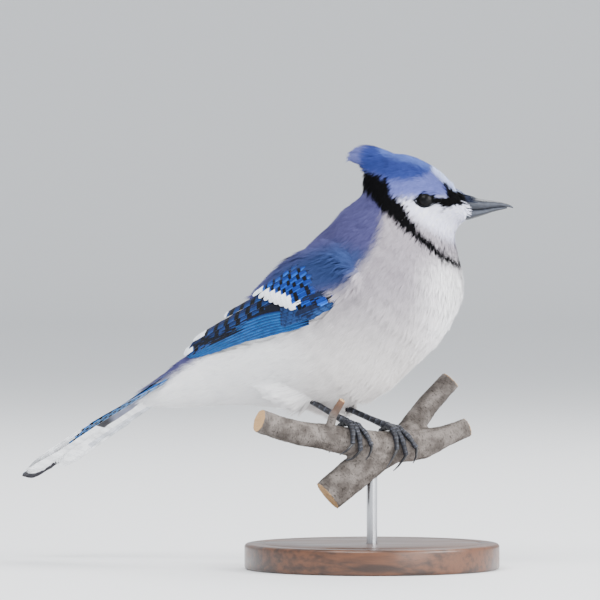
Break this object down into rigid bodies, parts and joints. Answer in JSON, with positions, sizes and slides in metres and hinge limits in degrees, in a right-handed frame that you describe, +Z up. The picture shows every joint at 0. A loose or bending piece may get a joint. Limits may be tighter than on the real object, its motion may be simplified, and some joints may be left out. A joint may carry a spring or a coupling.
{
  "type": "blue jay on a perch",
  "caption": "Perched blue jay at life size, crest half raised and tail slanting down, on a forked piece of branch held by a rod on a round base.",
  "frame": {"origin": "centre of the round base's underside", "axes": "+Z up, +X the way the bill points, +Y away from the side that the picture shows"},
  "size_m": [0.2353, 0.1505, 0.1988],
  "materials": {
    "head_plumage": "matte",
    "back_plumage": "matte",
    "pale_plumage": "matte",
    "flight_feathers": "satin",
    "bill_horn": "satin",
    "claw_horn": "satin",
    "leg_skin": "satin",
    "eye": "gloss",
    "bark": "matte",
    "base_wood": "satin",
    "rod_steel": "satin"
  },
  "bodies": {
    "root": {"head": "head_plumage", "crest": "head_plumage", "neck": "back_plumage", "trunk": "pale_plumage", "tail_coverts": "pale_plumage", "thigh_right": "pale_plumage", "thigh_left": "pale_plumage", "wing_right": "flight_feathers", "wing_left": "flight_feathers", "tail": "flight_feathers", "bill_upper": "bill_horn", "bill_lower": "bill_horn", "eye_right": "eye", "eye_left": "eye", "shank_right": "leg_skin", "shank_left": "leg_skin", "foot_right": "leg_skin", "foot_left": "leg_skin", "claw_right_first": "claw_horn", "claw_right_second": "claw_horn", "claw_right_third": "claw_horn", "claw_right_hind": "claw_horn", "claw_left_first": "claw_horn", "claw_left_second": "claw_horn", "claw_left_third": "claw_horn", "claw_left_hind": "claw_horn", "perch": "bark", "stand_base": "base_wood", "stand_rod": "rod_steel"}
  },
  "joints": []
}
